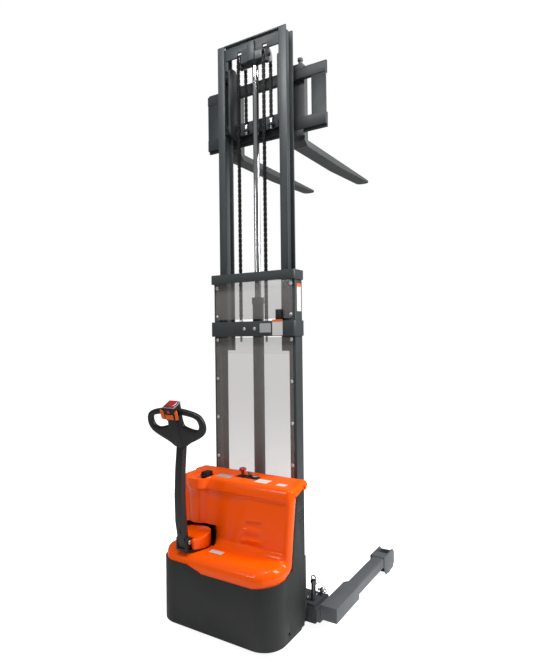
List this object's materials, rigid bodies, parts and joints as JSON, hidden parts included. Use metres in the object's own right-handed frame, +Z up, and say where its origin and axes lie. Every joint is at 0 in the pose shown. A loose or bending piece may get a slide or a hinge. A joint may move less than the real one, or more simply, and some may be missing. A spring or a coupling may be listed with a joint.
{
  "type": "walkie straddle stacker",
  "caption": "Pedestrian straddle stacker: orange battery truck body with tiller, raised two-stage mast, fork carriage and sliding straddle legs.",
  "frame": {"origin": "on the floor, under the middle of the overall box", "axes": "+Z up, +Y towards the fork tips, +X to the right of the operator, who stands behind the tiller on the -Y side"},
  "size_m": [1.13, 1.8296, 3.57],
  "materials": {
    "dark_paint": "satin",
    "mast_paint": "satin",
    "fork_paint": "satin",
    "black_paint": "satin",
    "steel": "satin",
    "zinc": "bright",
    "rod_chrome": "polished",
    "chain": "oiled",
    "skirt": "satin",
    "cover": "gloss",
    "black_plastic": "satin",
    "grey_plastic": "satin",
    "red_plastic": "gloss",
    "orange_plastic": "gloss",
    "battery_case": "satin",
    "alloy": "satin",
    "clear_panel": "clear",
    "tyre": "satin",
    "cord": "satin"
  },
  "bodies": {
    "truck": {"chassis_frame": "dark_paint", "steering_bearing": "steel", "lower_skirt": "skirt", "top_cover": "cover", "control_panel": "black_plastic", "switch_bodies": "black_plastic", "charger_plug": "black_plastic", "battery_pack": "battery_case", "pump_unit": "black_paint", "charger_and_controller": "alloy", "outer_rails": "mast_paint", "outer_ties": "mast_paint", "guard_screens": "clear_panel", "screen_screws": "zinc", "chain_anchor_bolts": "zinc", "chain_risers": "chain", "cylinder_barrel": "mast_paint", "straddle_base": "mast_paint", "clamp_plates": "mast_paint", "clamp_bolts": "zinc", "retaining_clips": "zinc", "clip_lanyards": "cord"},
    "steering": {"drive_gearbox": "black_paint", "traction_motor": "black_paint", "steering_hub": "cover", "tiller_yoke": "black_paint", "tiller_pin": "steel"},
    "drive_wheel_body": {"drive_wheel": "tyre"},
    "tiller": {"tiller_arm": "black_plastic", "tiller_head": "black_plastic", "head_cap": "grey_plastic"},
    "belly_switch": {"belly_button": "red_plastic"},
    "throttle": {"throttle_paddles": "orange_plastic"},
    "rocker": {"lift_rocker": "orange_plastic"},
    "horn": {"horn_button": "red_plastic"},
    "caster": {"caster_fork": "zinc"},
    "caster_wheel_pair": {"caster_wheels": "tyre"},
    "stop": {"stop_button": "red_plastic"},
    "key": {"ignition_key": "steel"},
    "inner_mast": {"inner_rails": "mast_paint", "inner_ties": "mast_paint", "cylinder_rod": "rod_chrome", "rod_crosshead": "mast_paint", "chain_drops": "chain"},
    "sheaves": {"chain_sheaves": "steel"},
    "outer_roller_pair": {"outer_rollers": "steel"},
    "inner_roller_pair": {"inner_rollers": "steel"},
    "carriage": {"carriage_plates": "mast_paint", "carriage_frame": "mast_paint", "carriage_chain_bolts": "zinc"},
    "lower_roller_pair": {"carriage_rollers_lower": "steel"},
    "upper_roller_pair": {"carriage_rollers_upper": "steel"},
    "left_fork": {"fork_left": "fork_paint"},
    "right_fork": {"fork_right": "fork_paint"},
    "left_leg": {"straddle_leg_left": "mast_paint"},
    "right_leg": {"straddle_leg_right": "mast_paint"},
    "left_load_wheel": {"load_wheel_left": "tyre"},
    "right_load_wheel": {"load_wheel_right": "tyre"},
    "left_lock_pin": {"lock_pin_left": "zinc"},
    "right_lock_pin": {"lock_pin_right": "zinc"}
  },
  "joints": [
    {"name": "steering_turn", "type": "hinge", "parent": "truck", "child": "steering", "pos_m": [-0.216, -0.69874, 0.312], "axis": [0, 0, 1], "range_deg": [-90, 90]},
    {"name": "drive_spin", "type": "hinge", "parent": "steering", "child": "drive_wheel_body", "pos_m": [-0.216, -0.69874, 0.105], "axis": [1, 0, 0], "continuous": true},
    {"name": "tiller_tilt", "type": "hinge", "parent": "steering", "child": "tiller", "pos_m": [-0.216, -0.79074, 0.512], "axis": [1, 0, 0], "range_deg": [0, 85], "stiffness_Nm_per_rad": 22, "springref_deg": -68.75},
    {"name": "belly_press", "type": "slide", "parent": "tiller", "child": "belly_switch", "axis": [0, -0.2924, 0.9563], "range_m": [-0.0035, 0], "stiffness_N_per_m": 1500, "springref_m": 0.002},
    {"name": "throttle_turn", "type": "hinge", "parent": "tiller", "child": "throttle", "pos_m": [-0.216, -0.89141, 1.24606], "axis": [1, 0, 0], "range_deg": [-20, 20], "stiffness_Nm_per_rad": 0.8},
    {"name": "lift_rock", "type": "hinge", "parent": "tiller", "child": "rocker", "pos_m": [-0.216, -0.90114, 1.23995], "axis": [1, 0, 0], "range_deg": [-6, 6], "stiffness_Nm_per_rad": 0.4},
    {"name": "horn_press", "type": "slide", "parent": "tiller", "child": "horn", "axis": [0, 0.9563, 0.2924], "range_m": [0, 0.0015], "stiffness_N_per_m": 600, "springref_m": -0.002},
    {"name": "caster_swivel", "type": "hinge", "parent": "truck", "child": "caster", "pos_m": [0.268, -0.69274, 0.1515], "axis": [0, 0, 1], "continuous": true},
    {"name": "caster_spin", "type": "hinge", "parent": "caster", "child": "caster_wheel_pair", "pos_m": [0.268, -0.65674, 0.065], "axis": [1, 0, 0], "continuous": true},
    {"name": "stop_push", "type": "slide", "parent": "truck", "child": "stop", "axis": [0, 0, 1], "range_m": [-0.006, 0]},
    {"name": "key_turn", "type": "hinge", "parent": "truck", "child": "key", "pos_m": [0.026, -0.45874, 0.84], "axis": [0, 0, 1], "range_deg": [0, 90]},
    {"name": "mast_lift", "type": "slide", "parent": "truck", "child": "inner_mast", "axis": [0, 0, 1], "range_m": [-1.425, 0], "deforming": ["chain_risers"]},
    {"name": "carriage_lift", "type": "slide", "parent": "inner_mast", "child": "carriage", "axis": [0, 0, 1], "range_m": [-1.425, 0], "deforming": ["chain_drops"]},
    {"name": "sheave_spin", "type": "hinge", "parent": "inner_mast", "child": "sheaves", "pos_m": [0, -0.31874, 3.45], "axis": [1, 0, 0], "continuous": true},
    {"name": "outer_roller_spin", "type": "hinge", "parent": "truck", "child": "outer_roller_pair", "pos_m": [0, -0.31774, 2.025], "axis": [1, 0, 0], "continuous": true},
    {"name": "inner_roller_spin", "type": "hinge", "parent": "inner_mast", "child": "inner_roller_pair", "pos_m": [0, -0.32474, 1.65], "axis": [1, 0, 0], "continuous": true},
    {"name": "lower_roller_spin", "type": "hinge", "parent": "carriage", "child": "lower_roller_pair", "pos_m": [0, -0.31774, 3.05], "axis": [1, 0, 0], "continuous": true},
    {"name": "upper_roller_spin", "type": "hinge", "parent": "carriage", "child": "upper_roller_pair", "pos_m": [0, -0.31774, 3.39], "axis": [1, 0, 0], "continuous": true},
    {"name": "left_fork_shift", "type": "slide", "parent": "carriage", "child": "left_fork", "axis": [1, 0, 0], "range_m": [-0.155, 0.13]},
    {"name": "right_fork_shift", "type": "slide", "parent": "carriage", "child": "right_fork", "axis": [1, 0, 0], "range_m": [-0.13, 0.155]},
    {"name": "left_leg_slide", "type": "slide", "parent": "truck", "child": "left_leg", "axis": [-1, 0, 0], "range_m": [0, 0.105]},
    {"name": "right_leg_slide", "type": "slide", "parent": "truck", "child": "right_leg", "axis": [1, 0, 0], "range_m": [0, 0.105]},
    {"name": "left_wheel_spin", "type": "hinge", "parent": "left_leg", "child": "left_load_wheel", "pos_m": [-0.5135, 0.51626, 0.042], "axis": [1, 0, 0], "continuous": true},
    {"name": "right_wheel_spin", "type": "hinge", "parent": "right_leg", "child": "right_load_wheel", "pos_m": [0.5135, 0.51626, 0.042], "axis": [1, 0, 0], "continuous": true},
    {"name": "left_pin_pull", "type": "slide", "parent": "truck", "child": "left_lock_pin", "axis": [0, 0, 1], "range_m": [0, 0.03]},
    {"name": "right_pin_pull", "type": "slide", "parent": "truck", "child": "right_lock_pin", "axis": [0, 0, 1], "range_m": [0, 0.03]}
  ],
  "couplings": [
    {"joint": "carriage_lift", "follows": "mast_lift", "ratio": 1},
    {"joint": "sheave_spin", "follows": "mast_lift", "rad_per_m": 23.809}
  ]
}
